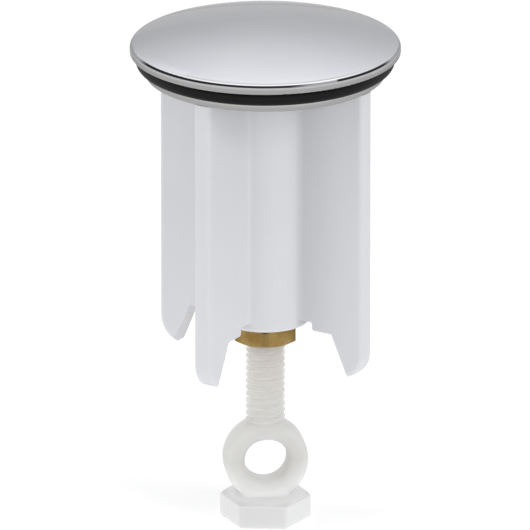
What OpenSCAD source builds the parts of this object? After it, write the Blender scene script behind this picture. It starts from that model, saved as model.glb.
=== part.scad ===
// Pop-up basin plug. A domed metal cap with an O-ring closes the waste, a finned plastic
// guide keeps it upright in the waste pipe, and a nylon eye screw hooks on the pop-up lever.
// The screw runs up through the guide into the cap's stem, and a lock nut clamps the guide.

/* [Cap] */
// Diameter over the cap's rim
cap_d = 40; // [39.5:0.5:60]
// Height of the rim's upright edge
rim_h = 1.25; // [1:0.05:3]
// Rise of the dome above the rim
dome_rise = 2.5; // [1.5:0.1:4]
// Rounding of the rim's upper edge
rim_edge_r = 0.65; // [0.2:0.05:0.8]
// Reach of the flange below the seal past the bottom of the seal's groove
flange_lip = 0.8; // [0.2:0.1:1.8]
// Thickness of that flange
flange_t = 1.1; // [0.8:0.1:3]
// Small rounding on the edges of the rim and the flange
edge_break = 0.2; // [0.1:0.05:0.3]
// Wall of the stem under the cap, around the screw's hole
stem_wall = 1.95; // [1.2:0.05:3]
// Length of the stem below the flange
stem_len = 16; // [13:0.5:20]
// Depth of the stem's hole that is left above the end of the screw
screw_room = 7; // [6.5:0.1:8]

/* [Seal] */
// Step from the cap's rim in to the outside of the O-ring
seal_inset = 0.85; // [0.3:0.05:1.2]
// Thickness of the O-ring's cord
seal_cord = 2.2; // [1.8:0.1:3]

/* [Guide] */
// Diameter over the fins
guide_d = 35.4; // [33:0.1:40]
// Wall of the hub around the cap's stem
hub_wall = 1.85; // [1.2:0.05:3]
// Length of the hub
hub_len = 38.3; // [30:0.1:60]
// Number of fins
fin_count = 4; // [3:1:5]
// Thickness of a fin
fin_t = 2.8; // [2:0.1:4]
// Rounding of a fin's outer edges
fin_edge_r = 0.7; // [0.2:0.1:0.9]
// Fillet between a fin and the hub
fin_root_r = 0.8; // [0.3:0.1:1.5]
// Height of a fin's lower edge above the end of the hub, over the room around the nut
fin_lift = 1.4; // [1:0.1:4]
// Step down of that edge outside the room around the nut
fin_step = 1.25; // [0.5:0.05:2]
// Rounding of that step's corner
fin_step_r = 0.4; // [0.1:0.1:0.5]
// Reach of the legs below the end of the hub
leg_drop = 6.3; // [4:0.1:8]
// Width of a leg at its top
leg_root_w = 5.3; // [4.5:0.05:6.5]
// Width of a leg at its tip
leg_tip_w = 2.9; // [2:0.1:4.4]
// Rounding of a leg's outer corner
leg_toe_r = 3.9; // [1:0.1:5]
// Rounding of a leg's inner corner
leg_heel_r = 0.6; // [0.2:0.1:0.8]
// Rounding at the tip of a leg's inner edges, which runs out towards its root
leg_edge_r = 0.9; // [0.3:0.1:0.9]
// Fillet between a leg and the lower edge of its fin
leg_root_r = 0.5; // [0.2:0.1:1.2]
// Turn of the fins against the eye, in degrees
guide_turn = 5; // [-45:1:45]

/* [Lock nut] */
// Width across the nut's flats
nut_af = 9; // [8.5:0.1:11]
// Thickness of the nut
nut_t = 3.2; // [2:0.1:5]
// Turn of the nut's corners against the eye, in degrees
nut_turn = 22; // [0:1:59]
// Room for a spanner between the nut's corners and the step of the fins
nut_room = 3.8; // [3:0.1:4.5]

/* [Eye screw] */
// Diameter over the crests of the screw's thread
screw_d = 5.9; // [5:0.1:6.4]
// Length of screw inside the cap's stem
screw_grip = 11; // [6:0.5:12]
// Width across the flats of the hexagon foot
foot_af = 11.8; // [10:0.5:14]
// Height of the foot
foot_h = 3.8; // [3:0.1:6]
// Turn of the foot's flats against the eye, in degrees
foot_turn = -11; // [-30:1:30]
// Outside diameter of the eye
eye_d = 12.5; // [11:0.1:14]
// Diameter of the hole in the eye
eye_hole_d = 6.5; // [5:0.1:8]
// Step from the screw's thread in to the flat side of the eye
eye_step = 0.55; // [0.1:0.05:1]
// Rounding of the eye's outer edges
eye_edge_r = 1; // [0.2:0.1:1.2]
// Bevel at both ends of the eye's hole
eye_bevel = 0.8; // [0.1:0.1:1]
// Depth of the eye's rim in the top of the foot
eye_sink = 0.75; // [0.4:0.05:1.5]
// Length of bare thread between the eye and the lock nut
thread_bare = 13.9; // [9:0.1:28]

/* [Fits] */
// Clearance around the screw's thread, per side
thread_gap = 0.1; // [0.05:0.05:0.15]
// Clearance around the screw in the guide, per side
guide_gap = 0.25; // [0.1:0.05:0.4]
// Clearance around the cap's stem in the guide, per side
stem_gap = 0.15; // [0.1:0.05:0.3]
// Play between the O-ring and its groove, on each side
seal_gap = 0.03; // [0.02:0.01:0.1]

/* [Hidden] */
$fn = 96;
// Overshoot of a cut past the face that it opens
cut = 1;
// Extra radius of a rounding's arc, so that it crosses its neighbours at a point
arc_over = 0.002;
// Bevel on the ends of the stem, the hub, the screw and the tapped holes
end_bevel = 0.5;
// Share of a hexagon's inner radius that its end faces keep inside their bevel
hex_face_share = 0.95;
// Slope of the bevel on the ends of the nut, in degrees
nut_bevel_deg = 30;
// Slope of the bevel on the top of the foot, in degrees
foot_bevel_deg = 14;
// Solid nylon between the eye's hole and the shoulder of the shank
neck_web = 1.55;

cap_r = cap_d / 2;
seal_r = cap_r - seal_inset;
groove_r = seal_r - seal_cord - seal_gap;
groove_h = seal_cord + 2 * seal_gap;
flange_r = groove_r + flange_lip;
tap_r = screw_d / 2 + thread_gap;
stem_r = tap_r + stem_wall;
stem_room_r = stem_r + stem_gap;
hub_r = stem_room_r + hub_wall;
guide_r = guide_d / 2;
leg_root_z = fin_lift - fin_step;
step_r = nut_af / 2 / cos(30) + nut_room;
fillet_y = fin_t / 2 + fin_root_r;
fillet_x = sqrt(pow(hub_r + fin_root_r, 2) - fillet_y * fillet_y);
eye_r = eye_d / 2;
eye_t = screw_d - 2 * eye_step;
eye_z = foot_h + eye_r - eye_sink;
shank_z = eye_z + eye_hole_d / 2 + neck_web;
hub_z = shank_z + thread_bare + nut_t;
guide_top_z = hub_z + hub_len;
groove_z = guide_top_z + flange_t;
rim_z = groove_z + groove_h;
rim_top_z = rim_z + rim_h;
stem_end_z = guide_top_z - stem_len;
shank_top_z = stem_end_z + screw_grip;
dome_r = (cap_r * cap_r + dome_rise * dome_rise) / (2 * dome_rise);
dome_centre_z = rim_top_z + dome_rise - dome_r;

function unit(v) = v / norm(v);

// Area past the arc that rounds the corner p of an outline; a and b are the corner's neighbours
module corner_web(a, p, b, r) {
    u = unit(a - p);
    v = unit(b - p);
    half = acos(u * v) / 2;
    centre = p + unit(u + v) * r / sin(half);
    far_a = 2 * (p + u * r / tan(half)) - centre;
    far_b = 2 * (p + v * r / tan(half)) - centre;
    difference() {
        polygon([centre, far_a, 2 * p - centre, far_b]);
        translate(centre) circle(r + arc_over);
    }
}

// Rectangle from [x0, y0] to [x1, y1] with its two corners on the x1 side rounded
module round_end_rect(x0, y0, x1, y1, r) {
    difference() {
        translate([x0, y0]) square([x1 - x0, y1 - y0]);
        corner_web([x0, y0], [x1, y0], [x1, y1], r);
        corner_web([x1, y0], [x1, y1], [x0, y1], r);
    }
}

// Hexagon prism with a bevel of bevel_deg on its top, and on its lower end too if bevel_low
module hexagon(af, h, bevel_deg, bevel_low) {
    corner_r = af / 2 / cos(30);
    face_r = hex_face_share * af / 2;
    bevel = (corner_r - face_r) * tan(bevel_deg);
    low_r = bevel_low ? face_r : corner_r;
    intersection() {
        cylinder(r = corner_r, h = h, $fn = 6);
        rotate_extrude()
            polygon([[0, 0], [low_r, 0], [corner_r, bevel], [corner_r, h - bevel], [face_r, h], [0, h]]);
    }
}

// Hole for the screw's thread from height z0 to z1, with a bevel at its lower mouth
module tapped_hole(z0, z1) {
    translate([0, 0, z0 - cut]) cylinder(r = tap_r, h = z1 - z0 + cut);
    translate([0, 0, z0]) cylinder(r1 = tap_r + end_bevel, r2 = tap_r, h = end_bevel);
}

// Half section of the cap's domed top, whose upper edge is an arc that runs into the dome
module dome_section() {
    arc_x = cap_r - rim_edge_r;
    arc_z = dome_centre_z + sqrt(pow(dome_r - rim_edge_r, 2) - arc_x * arc_x);
    dome_end_x = arc_x * dome_r / (dome_r - rim_edge_r);
    intersection() {
        translate([0, dome_centre_z]) circle(dome_r, $fn = 360);
        translate([0, rim_z]) square([dome_end_x, 2 * dome_rise + rim_h]);
    }
    translate([arc_x, arc_z]) circle(rim_edge_r);
    difference() {
        translate([0, rim_z]) square([cap_r, arc_z - rim_z]);
        corner_web([0, rim_z], [cap_r, rim_z], [cap_r, arc_z], edge_break);
    }
}

// Domed cap with the groove for the seal, the flange below it and a stem drilled for the screw
module plug_cap() {
    color([0.76, 0.77, 0.79])
        difference() {
            rotate_extrude() {
                dome_section();
                translate([0, groove_z]) square([groove_r, groove_h]);
                round_end_rect(0, guide_top_z, flange_r, groove_z, edge_break);
                polygon([
                    [0, stem_end_z],
                    [stem_r - end_bevel, stem_end_z],
                    [stem_r, stem_end_z + end_bevel],
                    [stem_r, guide_top_z],
                    [0, guide_top_z]
                ]);
            }
            tapped_hole(stem_end_z, shank_top_z + screw_room);
        }
}

// O-ring that seals on the seat of the waste
module seal_ring() {
    color([0.06, 0.06, 0.07])
        translate([0, 0, groove_z + groove_h / 2])
            rotate_extrude()
                translate([seal_r - seal_cord / 2, 0]) circle(d = seal_cord);
}

// One fin along +X seen from above, with its rounded outer edges and its fillets to the hub
module fin_plan() {
    round_end_rect(0, -fin_t / 2, guide_r, fin_t / 2, fin_edge_r);
    for (side = [0, 1])
        mirror([0, side])
            difference() {
                polygon([[0, 0], [fillet_x, 0], [fillet_x, fillet_y]]);
                translate([fillet_x, fillet_y]) circle(fin_root_r);
            }
}

// One fin along +X seen from the side, with its leg and the step that leaves room around the nut
module fin_side() {
    toe = [guide_r, -leg_drop];
    heel = [guide_r - leg_tip_w, -leg_drop];
    leg_root = [guide_r - leg_root_w, leg_root_z];
    step_low = [step_r, leg_root_z];
    step_high = [step_r, fin_lift];
    difference() {
        polygon([[0, hub_len], [guide_r, hub_len], toe, heel, leg_root, step_low, step_high, [0, fin_lift]]);
        corner_web(toe, heel, leg_root, leg_heel_r);
        corner_web(leg_root, step_low, step_high, fin_step_r);
    }
    corner_web(heel, leg_root, step_low, leg_root_r);
}

// What the rounding takes off one inner edge of a leg
module leg_edge_cut() {
    leg_h = leg_drop + leg_root_z;
    tilt = atan2(leg_root_w - leg_tip_w, leg_h);
    slope_len = leg_h / cos(tilt) - leg_root_r;
    run_out = atan2(leg_edge_r * (1 - sqrt(0.5)), slope_len);
    translate([guide_r - leg_tip_w, fin_t / 2, -leg_drop])
        rotate([0, -tilt - run_out, 0])
            rotate([-run_out, 0, 0])
                translate([0, 0, -cut])
                    linear_extrude(slope_len + cut) corner_web([1, 0], [0, 0], [0, -1], leg_edge_r);
}

// One fin along +X, whose rounded outer edges run on around the toe of its leg
module fin() {
    toe_x = guide_r - leg_toe_r;
    toe_z = leg_toe_r - leg_drop;
    half_t = fin_t / 2;
    difference() {
        intersection() {
            union() {
                translate([0, 0, toe_z]) linear_extrude(hub_len - toe_z) fin_plan();
                translate([toe_x, 0, toe_z])
                    rotate([90, 0, 0])
                        rotate([0, 0, -90])
                            rotate_extrude(angle = 90)
                                round_end_rect(0, -half_t, leg_toe_r, half_t, fin_edge_r);
                translate([0, -half_t, -leg_drop]) cube([toe_x, fin_t, leg_toe_r]);
            }
            rotate([90, 0, 0]) linear_extrude(2 * hub_r, center = true) fin_side();
        }
        for (side = [0, 1])
            mirror([0, side, 0]) leg_edge_cut();
    }
}

// Moulded guide: a hub with fins that slide in the waste pipe and legs that ring the lever
module guide_body() {
    color([0.87, 0.87, 0.9])
        translate([0, 0, hub_z])
            difference() {
                union() {
                    rotate_extrude()
                        polygon([
                            [0, 0],
                            [hub_r - end_bevel, 0],
                            [hub_r, end_bevel],
                            [hub_r, hub_len],
                            [0, hub_len]
                        ]);
                    for (i = [0 : fin_count - 1])
                        rotate([0, 0, guide_turn + 360 * (i + 0.5) / fin_count])
                            fin();
                }
                translate([0, 0, -cut])
                    cylinder(d = screw_d + 2 * guide_gap, h = hub_len + 2 * cut);
                translate([0, 0, hub_len - stem_len - stem_gap])
                    cylinder(r = stem_room_r, h = stem_len + stem_gap + cut);
            }
}

// Thin hexagon nut that clamps the guide against the cap
module lock_nut() {
    color([0.72, 0.57, 0.28])
        translate([0, 0, hub_z - nut_t])
            rotate([0, 0, nut_turn])
                difference() {
                    hexagon(nut_af, nut_t, nut_bevel_deg, true);
                    tapped_hole(0, nut_t + cut);
                }
}

// Nylon screw with an eye for the lever and a hexagon foot to turn it by
module eye_screw() {
    neck_h = (screw_d - eye_t) / 2;
    color([0.88, 0.88, 0.87])
        difference() {
            union() {
                rotate([0, 0, foot_turn]) hexagon(foot_af, foot_h, foot_bevel_deg, false);
                translate([0, 0, eye_z])
                    rotate([90, 0, 0])
                        rotate_extrude() round_end_rect(0, -eye_t / 2, eye_r, eye_t / 2, eye_edge_r);
                translate([0, 0, shank_z]) cylinder(d1 = eye_t, d2 = screw_d, h = neck_h);
                translate([0, 0, shank_z + neck_h])
                    cylinder(d = screw_d, h = shank_top_z - end_bevel - shank_z - neck_h);
                translate([0, 0, shank_top_z - end_bevel])
                    cylinder(d1 = screw_d, d2 = screw_d - 2 * end_bevel, h = end_bevel);
            }
            translate([0, 0, eye_z])
                rotate([90, 0, 0]) {
                    cylinder(d = eye_hole_d, h = eye_t + 2 * cut, center = true);
                    for (end = [0, 1])
                        mirror([0, 0, end])
                            translate([0, 0, eye_t / 2 - eye_bevel])
                                cylinder(
                                    d1 = eye_hole_d,
                                    d2 = eye_hole_d + 2 * (eye_bevel + cut),
                                    h = eye_bevel + cut
                                );
                }
        }
}

plug_cap();
seal_ring();
guide_body();
lock_nut();
eye_screw();
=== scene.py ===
import itertools
import math

import bmesh
import bpy
import numpy as np
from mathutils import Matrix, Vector


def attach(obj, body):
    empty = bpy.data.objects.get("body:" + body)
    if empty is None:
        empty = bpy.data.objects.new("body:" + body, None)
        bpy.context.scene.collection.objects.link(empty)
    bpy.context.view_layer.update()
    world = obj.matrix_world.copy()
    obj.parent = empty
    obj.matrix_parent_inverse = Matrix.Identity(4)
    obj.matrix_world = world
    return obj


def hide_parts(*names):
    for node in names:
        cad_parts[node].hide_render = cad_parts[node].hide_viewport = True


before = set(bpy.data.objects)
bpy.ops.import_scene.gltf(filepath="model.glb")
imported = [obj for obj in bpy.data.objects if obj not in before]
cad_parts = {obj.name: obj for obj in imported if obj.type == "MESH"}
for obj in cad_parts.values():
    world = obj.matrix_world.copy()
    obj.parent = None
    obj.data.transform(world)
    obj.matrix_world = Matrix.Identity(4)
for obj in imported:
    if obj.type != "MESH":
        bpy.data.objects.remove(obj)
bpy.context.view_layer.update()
scene = bpy.context.scene
scene.view_settings.view_transform = "Standard"

# Camera
# A long lens far away, a little above the plug and a little to the left of its lever eye, so the
# picture is almost parallel. The picture is square.
picture_px = 530
sensor_mm = 36.0
focal_px = 16890.57
camera_distance = 2.5
camera_azimuth = math.radians(-7.9)
camera_elevation = math.radians(19.438)
aim = Vector((0, 0, 0.0395))
aim_px = (265.3, 265.0)


def outward(azimuth, elevation):
    """The way from the plug to a place around it, with azimuth 0 straight in front of the eye."""
    level = math.cos(elevation)
    return Vector((math.sin(azimuth) * level, -math.cos(azimuth) * level, math.sin(elevation)))


back = outward(camera_azimuth, camera_elevation)
camera = bpy.data.objects.new("camera", bpy.data.cameras.new("camera"))
camera.data.sensor_width = sensor_mm
camera.data.lens = focal_px * sensor_mm / picture_px
camera.data.shift_x = (picture_px / 2 - aim_px[0]) / picture_px
camera.data.shift_y = (aim_px[1] - picture_px / 2) / picture_px
camera.data.clip_end = 20
camera.location = aim + back * camera_distance
camera.rotation_mode = "QUATERNION"
camera.rotation_quaternion = (-back).to_track_quat("-Z", "Y")
scene.collection.objects.link(camera)
scene.camera = camera


# Studio
# A pale paper floor in a white tent. Four softboxes light the plug from the left, the front, the
# right and overhead, and two large glowing panels, behind and in front, are there for the dome to
# mirror.
class Wire:
    """A shader socket that takes part in sums. Each operator adds one Math node."""

    def __init__(self, tree, socket=None):
        self.tree = tree
        self.socket = socket

    def node(self, kind, settings, sockets, output=0):
        made = self.tree.nodes.new(kind)
        for name, value in settings.items():
            if name == "stops":
                elements = made.color_ramp.elements
                while len(elements) < len(value):
                    elements.new(0.5)
                for element, (position, colour) in zip(elements, value):
                    element.position = position
                    element.color = (*colour, 1)
            else:
                setattr(made, name, value)
        for key, value in sockets.items():
            if isinstance(value, Wire):
                self.tree.links.new(value.socket, made.inputs[key])
            else:
                made.inputs[key].default_value = value
        return Wire(self.tree, made.outputs[output] if len(made.outputs) else None)

    def outputs(self, *names):
        """The named outputs of the node that this socket is on."""
        return [Wire(self.tree, self.socket.node.outputs[name]) for name in names]

    def math(self, operation, first, second=0.0):
        return self.node("ShaderNodeMath", {"operation": operation}, {0: first, 1: second})

    def __add__(self, other):
        return self.math("ADD", self, other)

    def __radd__(self, other):
        return self.math("ADD", other, self)

    def __sub__(self, other):
        return self.math("SUBTRACT", self, other)

    def __rsub__(self, other):
        return self.math("SUBTRACT", other, self)

    def __mul__(self, other):
        return self.math("MULTIPLY", self, other)

    def __rmul__(self, other):
        return self.math("MULTIPLY", other, self)

    def __abs__(self):
        return self.math("ABSOLUTE", self)


def mixed(share, base, paint):
    """The base colour with that share of the paint over it."""
    return share.node("ShaderNodeMix", {"data_type": "RGBA"}, {0: share, 6: base, 7: paint}, output=2)


tent_fill = 0.56
tent_white = (1.0, 1.0, 1.0, 1)
tent_tint = (0.985, 0.99, 1.0, 1)
tent = bpy.data.worlds.new("tent")
tent.use_nodes = True
tent.node_tree.nodes.clear()
scene.world = tent
wires = Wire(tent.node_tree)
to_camera, to_metal, through_glass = wires.node("ShaderNodeLightPath", {}, {}).outputs(
    "Is Camera Ray", "Is Glossy Ray", "Is Transmission Ray"
)
is_background = wires.math("MAXIMUM", to_camera, wires.math("MAXIMUM", to_metal, through_glass))
tent_strength = tent_fill + (1 - tent_fill) * is_background
tent_colour = mixed(is_background, tent_tint, tent_white)
sky = wires.node("ShaderNodeBackground", {}, {"Color": tent_colour, "Strength": tent_strength})
wires.node("ShaderNodeOutputWorld", {}, {"Surface": sky})


def flat_sheet(name, width, height):
    """A level rectangle around the origin."""
    x, y = width / 2, height / 2
    mesh = bpy.data.meshes.new(name)
    mesh.from_pydata([(-x, -y, 0), (x, -y, 0), (x, y, 0), (-x, y, 0)], [], [(0, 1, 2, 3)])
    sheet = bpy.data.objects.new(name, mesh)
    scene.collection.objects.link(sheet)
    return sheet


def blank_material(name):
    material = bpy.data.materials.new(name)
    material.use_nodes = True
    material.node_tree.nodes.clear()
    return material, Wire(material.node_tree)


def ramp(value, start, end, low, high):
    """A smooth step from low at start to high at end."""
    return value.node(
        "ShaderNodeMapRange", {"interpolation_type": "SMOOTHSTEP"},
        {"Value": value, "From Min": start, "From Max": end, "To Min": low, "To Max": high},
    )


def dress(material, surface, *pieces):
    """Ends a material with its surface and puts it on the pieces in place of what they had."""
    surface.node("ShaderNodeOutputMaterial", {}, {"Surface": surface})
    for piece in pieces:
        piece.data.materials.clear()
        piece.data.materials.append(material)


# The paper glows a little for the camera, near the plug for the matt pieces, and farther away for
# the metal.
floor_width = 6.0
floor_colour = (0.86, 0.86, 0.86, 1)
camera_lift = 0.32
matt_lift, matt_lift_full, matt_lift_end = 0.47, 0.08, 0.3
metal_lift, metal_lift_start, metal_lift_full = 0.24, 0.2, 0.45
floor = flat_sheet("floor", floor_width, floor_width)
floor_material, wires = blank_material("floor")
paper = wires.node("ShaderNodeBsdfDiffuse", {}, {"Color": floor_colour})
to_camera, to_matt, to_metal = wires.node("ShaderNodeLightPath", {}, {}).outputs(
    "Is Camera Ray", "Is Diffuse Ray", "Is Glossy Ray"
)
place = wires.node("ShaderNodeTexCoord", {}, {}, output="Object")
away = wires.node("ShaderNodeVectorMath", {"operation": "LENGTH"}, {0: place}, output="Value")
near_glow = ramp(away, matt_lift_full, matt_lift_end, matt_lift, 0.0)
far_glow = ramp(away, metal_lift_start, metal_lift_full, 0.0, metal_lift)
glow = wires.node(
    "ShaderNodeEmission", {},
    {"Strength": camera_lift * to_camera + near_glow * to_matt + far_glow * to_metal},
)
both = wires.node("ShaderNodeAddShader", {}, {0: paper, 1: glow})
dress(floor_material, both, floor)


def set_up(thing, azimuth_deg, elevation_deg, distance):
    """Turns a lamp or panel to the plug: azimuth 0 is on the camera's side, 90 on its right."""
    azimuth = math.radians(azimuth_deg) + camera_azimuth
    thing.location = aim + outward(azimuth, math.radians(elevation_deg)) * distance
    thing.rotation_mode = "QUATERNION"
    thing.rotation_quaternion = (thing.location - aim).to_track_quat("Z", "Y")
    thing.visible_camera = False


# azimuth, elevation, width and height in metres, watts
softboxes = {
    "softbox_left": (-84, 26, 0.9, 1.1, 5.6),
    "softbox_front": (28, 16, 0.7, 0.7, 2.9),
    "softbox_right": (54, 34, 0.45, 0.4, 3.15),
    "softbox_top": (150, 74, 1.4, 1.2, 4.0),
}
softbox_distance = 1.6
for name, (azimuth, elevation, width, height, watts) in softboxes.items():
    lamp = bpy.data.lights.new(name, "AREA")
    lamp.shape = "RECTANGLE"
    lamp.size, lamp.size_y = width, height
    lamp.energy = watts
    stand = bpy.data.objects.new(name, lamp)
    set_up(stand, azimuth, elevation, softbox_distance)
    stand.visible_glossy = False
    scene.collection.objects.link(stand)

# The panels are as bright as the tent at their edges, brighter above and a little less to one side.
panel_azimuths = {"rear_panel": 172, "front_panel": -8}
panel_elevation, panel_distance = 46, 1.9
panel_width, panel_height = 3.2, 2.6
panel_slope, panel_most = 1.2, 0.7
panel_dim, panel_dim_start, panel_dim_end = 0.17, 0.2, 1.1
plain_above, plain_beside = 0.95, 1.1
panel_top, panel_end = panel_height / 2, panel_width / 2
panel_material, wires = blank_material("panel")
place = wires.node("ShaderNodeTexCoord", {}, {}, output="Object")
side, rise = wires.node("ShaderNodeSeparateXYZ", {}, {"Vector": place}).outputs("X", "Y")
upward = wires.math("MINIMUM", ramp(rise, -panel_top, panel_top, 0.0, panel_slope), panel_most)
above_tent = upward - ramp(side, panel_dim_start, panel_dim_end, 0.0, panel_dim)
inner = ramp(rise, panel_top, plain_above, 0.0, 1.0) * ramp(abs(side), panel_end, plain_beside, 0.0, 1.0)
panel_glow = wires.node("ShaderNodeEmission", {}, {"Strength": 1 + above_tent * inner})
panels = []
for name, azimuth in panel_azimuths.items():
    panel = flat_sheet(name, panel_width, panel_height)
    set_up(panel, azimuth, panel_elevation, panel_distance)
    panel.visible_shadow = False
    panel.visible_diffuse = False
    panels.append(panel)
dress(panel_material, panel_glow, *panels)

# Eye screw
# One moulding of natural nylon: an M6 thread, an eye for the pop-up lever and a hexagon foot.
# It screws up through the guide into the cap, and its colour is milky and a little see-through.
mm = 0.001
pitch = 1.0
crest_r, root_r = 2.95, 2.40
crest_corner_r, root_corner_r = 2.895, 2.435
thread_low, thread_high = 14.9, 64.5
thread_steps = 48
run_out, tip_bevel = 0.3, 0.5
eye_centre = 9.3
eye_r, hole_r, eye_half_t = 6.25, 3.25, 2.4
eye_round, hole_round = 1.0, 1.3
foot_across, foot_h, foot_turn = 11.8, 3.8, math.radians(-11)
foot_round = 0.22
foot_bevel = math.radians(14)
foot_face_share = 0.95
neck_r, neck_low, neck_top = 2.45, 12.0, 15.3
blend_r = 0.45
skin_low, skin_high, skin_step = (-7.4, -7.4, -0.6), (7.4, 7.4, 16.4), 0.19
weld_gap = 0.01 * mm
sharp_angle = math.radians(40)


def smooth_max(a, b, r):
    """The larger of two distances, with the edge between them rounded by r."""
    u = np.maximum(r + a, 0)
    v = np.maximum(r + b, 0)
    return np.minimum(-r, np.maximum(a, b)) + np.hypot(u, v)


def smooth_min(a, b, r):
    return -smooth_max(-a, -b, r)


def eye_and_foot(p):
    """Distance to the moulded lower end of the screw, in millimetres, below zero inside."""
    x, y, z = p[..., 0], p[..., 1], p[..., 2]
    sides = np.full(x.shape, -1e9)
    for k in range(6):
        a = foot_turn + math.radians(30 + 60 * k)
        sides = smooth_max(sides, x * math.cos(a) + y * math.sin(a) - foot_across / 2, foot_round)
    face_r = foot_face_share * foot_across / 2
    cone = (np.hypot(x, y) - face_r) * math.sin(foot_bevel) + (z - foot_h) * math.cos(foot_bevel)
    top = smooth_max(z - foot_h, cone, foot_round)
    foot = smooth_max(smooth_max(sides, top, foot_round), -z, foot_round)
    around = np.hypot(x, z - eye_centre)
    disc = smooth_max(around - eye_r, np.abs(y) - eye_half_t, eye_round)
    neck = np.maximum(np.hypot(x, y) - neck_r, np.maximum(z - neck_top, neck_low - z))
    body = smooth_min(smooth_min(foot, disc, blend_r), neck, blend_r)
    return smooth_max(body, hole_r - around, hole_round)


def skinned(field, low, high, step):
    """Points and quads of the surface where field is zero, on a grid of that step."""
    axes = [np.arange(a, b + step, step) for a, b in zip(low, high)]
    grid = np.stack(np.meshgrid(*axes, indexing="ij"), -1)
    inside = field(grid) < 0
    nx, ny, nz = (n - 1 for n in inside.shape)
    count = sum(
        inside[i:i + nx, j:j + ny, k:k + nz].astype(int)
        for i, j, k in itertools.product((0, 1), repeat=3)
    )
    crossed = (count > 0) & (count < 8)
    number = np.full(crossed.shape, -1)
    number[crossed] = np.arange(crossed.sum())
    points = (np.argwhere(crossed) + 0.5) * step + np.array(low)
    nudge, pulls = 0.01, 5
    for _ in range(pulls):
        here = field(points)
        slope = np.stack(
            [(field(points + nudge * e) - field(points - nudge * e)) / (2 * nudge) for e in np.eye(3)], -1
        )
        length = np.maximum((slope ** 2).sum(-1), 1e-6)
        points = points - slope * (here / length)[:, None]
    quads = []
    for axis in range(3):
        u, v = (axis + 1) % 3, (axis + 2) % 3
        first = inside.take(range(inside.shape[axis] - 1), axis)
        second = inside.take(range(1, inside.shape[axis]), axis)
        for cell in np.argwhere(first != second):
            ring = []
            for du, dv in ((-1, -1), (0, -1), (0, 0), (-1, 0)):
                corner = cell.copy()
                corner[u] += du
                corner[v] += dv
                ring.append(int(number[tuple(corner)]))
            quads.append(ring if first[tuple(cell)] else ring[::-1])
    return points, quads


def thread_strip(low, high, profile, steps):
    """Points and faces of a right-hand thread. The profile is (offset, radius) over one pitch."""
    wide = len(profile)
    turns = int(math.ceil((high - low) / pitch)) + 2
    rows = turns * steps
    points, faces = [], []
    for j in range(rows + 1):
        angle = 2 * math.pi * j / steps
        base = low - pitch + pitch * j / steps
        for offset, radius in profile:
            z = min(max(base + offset, low), high)
            fade = min(1.0, max(0.0, (z - low) / run_out), max(0.0, (high - z) / tip_bevel))
            r = root_r + (radius - root_r) * fade
            points.append((r * math.cos(angle), r * math.sin(angle), z))
    for j in range(rows):
        for k in range(wide):
            a, b = j * wide + k, (j + 1) * wide + k
            if k < wide - 1:
                faces.append((a, b, b + 1, a + 1))
            elif j + 1 + steps <= rows:
                faces.append((a, b, (j + 1 + steps) * wide, (j + steps) * wide))
    return points, faces


def closed_mesh(name, points, faces, merge):
    """A mesh in metres from points in millimetres: doubles merged, holes closed, normals outward."""
    made = bmesh.new()
    verts = [made.verts.new(Vector(p) * mm) for p in points]
    for face in faces:
        made.faces.new([verts[i] for i in face])
    bmesh.ops.remove_doubles(made, verts=made.verts, dist=merge * mm)
    bmesh.ops.dissolve_degenerate(made, edges=made.edges, dist=merge * mm)
    bmesh.ops.holes_fill(made, edges=[e for e in made.edges if e.is_boundary], sides=0)
    bmesh.ops.recalc_face_normals(made, faces=made.faces)
    mesh = bpy.data.meshes.new(name)
    made.to_mesh(mesh)
    made.free()
    return mesh


lower_points, lower_faces = skinned(eye_and_foot, skin_low, skin_high, skin_step)
lower_mesh = closed_mesh("eye_and_foot", lower_points, lower_faces, merge=0.001)
thread_profile = [
    (-0.10, crest_corner_r), (-0.045, crest_r), (0.045, crest_r), (0.10, crest_corner_r),
    (0.36, root_corner_r), (0.43, root_r), (0.57, root_r), (0.64, root_corner_r),
]
rod_points, rod_faces = thread_strip(thread_low, thread_high, thread_profile, thread_steps)
rod_mesh = closed_mesh("thread", rod_points, rod_faces, merge=0.0005)
screw = bpy.data.objects.new("nylon_eye_screw", lower_mesh)
rod = bpy.data.objects.new("thread", rod_mesh)
for piece in (screw, rod):
    scene.collection.objects.link(piece)
union = screw.modifiers.new("thread", "BOOLEAN")
union.operation = "UNION"
union.solver = "EXACT"
union.object = rod
screw.modifiers.new("weld", "WELD").merge_threshold = weld_gap
joined = bpy.data.meshes.new_from_object(screw.evaluated_get(bpy.context.evaluated_depsgraph_get()))
screw.modifiers.clear()
screw.data = joined
bpy.data.objects.remove(rod)
joined.shade_smooth()
joined.set_sharp_from_angle(angle=sharp_angle)


def noise(place, scale, detail, roughness=0.5):
    return place.node(
        "ShaderNodeTexNoise", {},
        {"Vector": place, "Scale": scale, "Detail": detail, "Roughness": roughness},
    )


def tones(value, stops):
    """Colours along a value, from (value, colour) stops."""
    return value.node("ShaderNodeValToRGB", {"stops": stops}, {0: value})


def bumps(height, strength, depth):
    return height.node("ShaderNodeBump", {}, {"Strength": strength, "Distance": depth, "Height": height})


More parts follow.
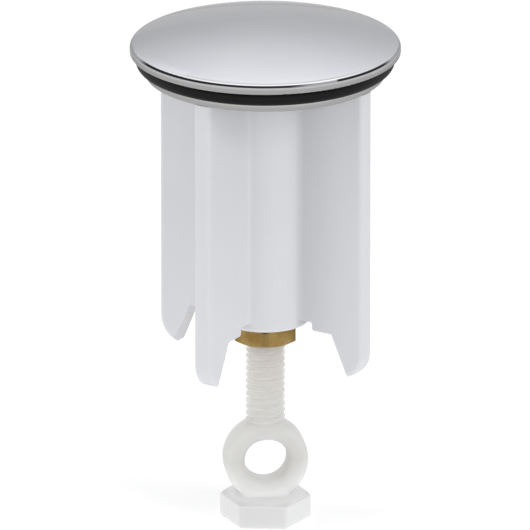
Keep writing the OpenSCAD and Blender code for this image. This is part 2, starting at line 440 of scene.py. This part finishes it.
# Painted light and shade by height in millimetres over the nylon's milky tone.
# The foot is lighter with a painted dark line along its top edge, the eye darker in painted shade, and near
# the nut the thread has a warm painted reflection of the brass.
milk_and_light_by_height = [
    (3.3, (0.835, 0.835, 0.835)), (3.6, (0.70, 0.70, 0.70)), (3.8, (0.90, 0.90, 0.895)),
    (5.0, (0.78, 0.78, 0.77)), (7.0, (0.60, 0.60, 0.59)), (9.5, (0.51, 0.51, 0.50)),
    (14.0, (0.58, 0.58, 0.57)), (19.5, (0.575, 0.57, 0.55)), (26.0, (0.55, 0.53, 0.50)),
]
milk_and_light_top = 26
cloud_share = 0.015
# Painted light in the thread's grooves, strongest at the root, to soften their shade.
groove_light_tone, groove_light_most = (0.9, 0.88, 0.85, 1), 0.16
groove_light_start, groove_light_full = 15 * mm, 16 * mm
# Painted shade: the foot's facet on the lever's side is darker than the others.
face_shade_tone, face_turn = (0.76, 0.76, 0.76, 1), math.radians(259)
face_edge, face_full = 0.83, 0.866
face_top, face_low = 3.4 * mm, 3.2 * mm
thick_full, thick_end = 3.6 * mm, 4.4 * mm
nylon, wires = blank_material("natural_nylon")
place = wires.node("ShaderNodeTexCoord", {}, {}, output="Object")
cloud = noise(place, 160.0, 3.0)
grain = noise(place, 2600.0, 2.0)
x, y, height = wires.node("ShaderNodeSeparateXYZ", {}, {"Vector": place}).outputs("X", "Y", "Z")
radius = wires.math("SQRT", x * x + y * y)
facing = wires.math("COSINE", wires.math("ARCTAN2", y, x) - face_turn)
# The milky tone with painted light and shade by height.
milk_and_light = tones(
    height * (1 / (milk_and_light_top * mm)) + cloud_share * (cloud - 0.5),
    [(z / milk_and_light_top, colour) for z, colour in milk_and_light_by_height],
)
# Painted light at the thread's root.
groove_light = (
    ramp(radius, root_r * mm, crest_r * mm, groove_light_most, 0.0)
    * ramp(height, groove_light_start, groove_light_full, 0.0, 1.0)
)
# Painted shade on the foot's facet on the lever's side.
face_shade = ramp(facing, face_edge, face_full, 0.0, 1.0) * ramp(height, face_top, face_low, 0.0, 1.0)
milk_and_light = mixed(face_shade, mixed(groove_light, milk_and_light, groove_light_tone), face_shade_tone)
moulded = {
    "Base Color": milk_and_light, "Roughness": 0.42 + 0.12 * cloud, "Normal": bumps(grain, 0.06, 0.00005), "IOR": 1.53
}
clear_part = wires.node(
    "ShaderNodeBsdfPrincipled", {},
    {
        **moulded, "Specular IOR Level": 0.2,
        "Subsurface Weight": 1.0, "Subsurface Radius": (1.0, 0.95, 0.88), "Subsurface Scale": 0.012,
    },
)
thick_part = wires.node(
    "ShaderNodeBsdfPrincipled", {},
    {
        **moulded, "Specular IOR Level": 0.3,
        "Subsurface Weight": 0.5, "Subsurface Radius": (1.0, 0.95, 0.9), "Subsurface Scale": 0.0012,
    },
)
thick_share = ramp(height, thick_end, thick_full, 0.0, 1.0)
shade = wires.node("ShaderNodeMixShader", {}, {0: thick_share, 1: clear_part, 2: thick_part})
dress(nylon, shade, screw)
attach(screw, "eye_screw")
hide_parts("eye_screw")

# Lock nut
# Thin hexagon nut turned from brass bar, with its corners bevelled at both ends. It runs on the
# nylon thread and presses the guide up against the cap.
edge_round, edge_angle = 0.12 * mm, math.radians(25)
corner_turn = math.radians(22)
# One dark tone for painted dark reflections along the nut's corners, broken by random patches, and a
# painted shadow along its top under the guide's hub.
corner_and_top_dark_tone = (0.12, 0.075, 0.025, 1)
corner_dark_most, corner_dark_start, corner_dark_full = 0.3, 0.55, 1.0
corner_dark_patches = 0.9
# Painted shadow along the nut's top, under the guide's hub.
top_shadow_most, top_shadow_low, top_shadow_high = 0.85, 0.0309, 0.0311
top_shadow_dip = 0.0006
turning_marks = (300.0, 300.0, 5200.0)
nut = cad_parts["lock_nut"]
edge = nut.modifiers.new("edge", "BEVEL")
edge.width = edge_round
edge.segments = 2
edge.limit_method = "ANGLE"
edge.angle_limit = edge_angle

brass, wires = blank_material("brass")
place = wires.node("ShaderNodeTexCoord", {}, {}, output="Object")
patch = noise(place, 420.0, 3.0, roughness=0.6)
fine = noise(wires.node("ShaderNodeMapping", {}, {"Vector": place, "Scale": turning_marks}), 1.0, 3.0)
tone = tones(patch, [(0.34, (0.35, 0.22, 0.07)), (0.52, (0.45, 0.305, 0.105)), (0.68, (0.52, 0.36, 0.15))])
x, y, height = wires.node("ShaderNodeSeparateXYZ", {}, {"Vector": place}).outputs("X", "Y", "Z")
corner = wires.math("COSINE", 6 * (wires.math("ARCTAN2", y, x) - corner_turn))
# Painted dark reflections at the corners, broken by random patches.
corner_dark = ramp(corner + corner_dark_patches * (patch - 0.5), corner_dark_start, corner_dark_full, 0.0, corner_dark_most)
# Painted shadow along the top, under the hub.
top_shadow = ramp(height + top_shadow_dip * corner, top_shadow_low, top_shadow_high, 0.0, top_shadow_most)
tone = mixed(wires.math("MAXIMUM", corner_dark, top_shadow), tone, corner_and_top_dark_tone)
shade = wires.node(
    "ShaderNodeBsdfPrincipled", {},
    {
        "Base Color": tone, "Metallic": 1.0, "Roughness": 0.22 + 0.18 * patch,
        "Normal": bumps(fine, 0.25, 0.00003),
    },
)
dress(brass, shade, nut)

# Guide
# One injection moulding of white plastic: a hub with four fins that slide in the waste pipe, each
# ending in a leg below the hub. The nut and the cap clamp it between them.
first_fin = math.radians(50)
# Painted shade: one side of each fin is darker near the hub.
hub_shade_tone = (0.648, 0.65, 0.674, 1)
hub_shade_start, hub_shade_full = math.radians(70), math.radians(78)
hub_shade_inner_r, hub_shade_most_r, hub_shade_outer_r = 5.8 * mm, 6.5 * mm, 15 * mm
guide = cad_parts["guide_body"]
guide.modifiers.new("smooth", "WEIGHTED_NORMAL").keep_sharp = True

white, wires = blank_material("white_plastic")
place = wires.node("ShaderNodeTexCoord", {}, {}, output="Object")
flow = noise(place, 55.0, 4.0)
grain = noise(place, 1900.0, 2.0)
tone = tones(flow, [(0.3, (0.725, 0.728, 0.755)), (0.7, (0.755, 0.758, 0.78))])
x, y = wires.node("ShaderNodeSeparateXYZ", {}, {"Vector": place}).outputs("X", "Y")
radius = wires.math("SQRT", x * x + y * y)
turn = wires.math("ARCTAN2", y, x)
past_fin = wires.math("MODULO", turn + (2 * math.pi - first_fin), math.pi / 2)
# Painted shade on one side of each fin, near the hub.
hub_shade_share = (
    ramp(past_fin, hub_shade_start, hub_shade_full, 0.0, 1.0)
    * ramp(radius, hub_shade_inner_r, hub_shade_most_r, 0.0, 1.0)
    * ramp(radius, hub_shade_outer_r, hub_shade_most_r, 0.0, 1.0)
)
shade = wires.node(
    "ShaderNodeBsdfPrincipled", {},
    {
        "Base Color": mixed(hub_shade_share, tone, hub_shade_tone), "Roughness": 0.36 + 0.12 * flow,
        "Normal": bumps(grain, 0.05, 0.00005), "IOR": 1.49,
        "Subsurface Weight": 0.15, "Subsurface Radius": (1.0, 1.0, 1.0), "Subsurface Scale": 0.0008,
    },
)
dress(white, shade, guide)

# Cap
# Turned brass, polished and chrome plated: a shallow dome with an upright rim, a groove for the
# O-ring, a flange below it and a tapped stem inside the guide.
front = math.radians(-97.9)
front_edge, front_full = 0.6, 0.95
# A painted dark reflection runs round the rim's rounded edge: full at the front, weaker on the sides and
# back, and mostly broken where a painted glint crosses it.
dark_reflection_z, dark_reflection_w = 0.07403, 0.00028
dark_reflection_tone = (0.018, 0.018, 0.02, 1)
line_outer, line_inner = 1.25, 0.75
side_share, side_end, side_start = 0.3, 0.34, 0.5
glint_share = 0.3
glint_start, glint_end = math.radians(-88), math.radians(-66)
glint_soft, glint_sharp = 0.25, 0.02
# A painted highlight just above the dark reflection, at the front only.
highlight_low, highlight_high = 0.07416, 0.07426
highlight_tone = (0.60, 0.60, 0.605, 1)
# A painted dimmer reflection above the highlight, where the rounding meets the dome, at the front only.
dim_reflection_high = 0.07434
dim_reflection_tone = (0.37, 0.372, 0.385, 1)
line_soft = 0.00002
# Painted dimmer reflection of the floor on the rim wall, the flange and all below them.
wall_top_z, wall_soft = 0.07375, 0.0001
wall_reflection_tone = (0.50, 0.50, 0.49, 1)
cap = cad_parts["plug_cap"]
cap.modifiers.new("weld", "WELD").merge_threshold = weld_gap

chrome, wires = blank_material("chrome_plate")
place = wires.node("ShaderNodeTexCoord", {}, {}, output="Object")
haze = noise(place, 90.0, 4.0)
polish = noise(place, 1500.0, 2.0)
tone = tones(haze, [(0.3, (0.48, 0.485, 0.515)), (0.7, (0.50, 0.505, 0.53))])
x, y, height = wires.node("ShaderNodeSeparateXYZ", {}, {"Vector": place}).outputs("X", "Y", "Z")
turn = wires.math("ARCTAN2", y, x)
facing = wires.math("COSINE", turn - front)
near_front = ramp(facing, front_edge, front_full, 0.0, 1.0)
before_glint = ramp(turn, glint_start, glint_start + glint_soft, 1.0, glint_share)
after_glint = ramp(turn, glint_end - glint_sharp, glint_end + glint_sharp, 0.0, 1.0)
off_line = abs(height - dark_reflection_z) * (2 / dark_reflection_w)
# Painted dark reflection along the rim's edge, broken by the painted glint.
dark_reflection_share = (
    ramp(off_line, line_outer, line_inner, 0.0, 1.0)
    * ramp(facing, side_end, side_start, side_share, 1.0)
    * wires.math("MAXIMUM", before_glint, after_glint)
)
wall_reflection_share = ramp(height, wall_top_z + wall_soft, wall_top_z - wall_soft, 0.0, 1.0)
over_low = ramp(height, highlight_low - 2 * line_soft, highlight_low, 0.0, 1.0)
over_highlight = ramp(height, highlight_high - line_soft, highlight_high + line_soft, 0.0, 1.0)
under_top = ramp(height, dim_reflection_high + line_soft, dim_reflection_high - line_soft, 0.0, 1.0)
highlight_share = over_low * (1 - over_highlight) * near_front
dim_reflection_share = over_highlight * under_top * near_front
# The painted reflections and highlight go over the plate's tone.
for share, paint in (
    (wall_reflection_share, wall_reflection_tone), (dim_reflection_share, dim_reflection_tone),
    (highlight_share, highlight_tone), (dark_reflection_share, dark_reflection_tone),
):
    tone = mixed(share, tone, paint)
shade = wires.node(
    "ShaderNodeBsdfPrincipled", {},
    {
        "Base Color": tone, "Metallic": 1.0, "Roughness": 0.08 + 0.05 * haze,
        "Normal": bumps(polish, 0.02, 0.00002), "Specular Tint": (0.7, 0.7, 0.7, 1),
    },
)
dress(chrome, shade, cap)

# O-ring
# Black nitrile rubber, moulded, stretched into the groove under the cap's rim. It closes the
# conical seat of the waste.
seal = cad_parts["seal_ring"]
rubber, wires = blank_material("black_rubber")
place = wires.node("ShaderNodeTexCoord", {}, {}, output="Object")
bloom = noise(place, 300.0, 4.0)
grain = noise(place, 4200.0, 2.0)
tone = tones(bloom, [(0.35, (0.003, 0.003, 0.003)), (0.7, (0.006, 0.0055, 0.0055))])
shade = wires.node(
    "ShaderNodeBsdfPrincipled", {},
    {
        "Base Color": tone, "Roughness": 0.42 + 0.2 * bloom, "Normal": bumps(grain, 0.15, 0.00004),
        "Specular IOR Level": 0.2,
    },
)
dress(rubber, shade, seal)
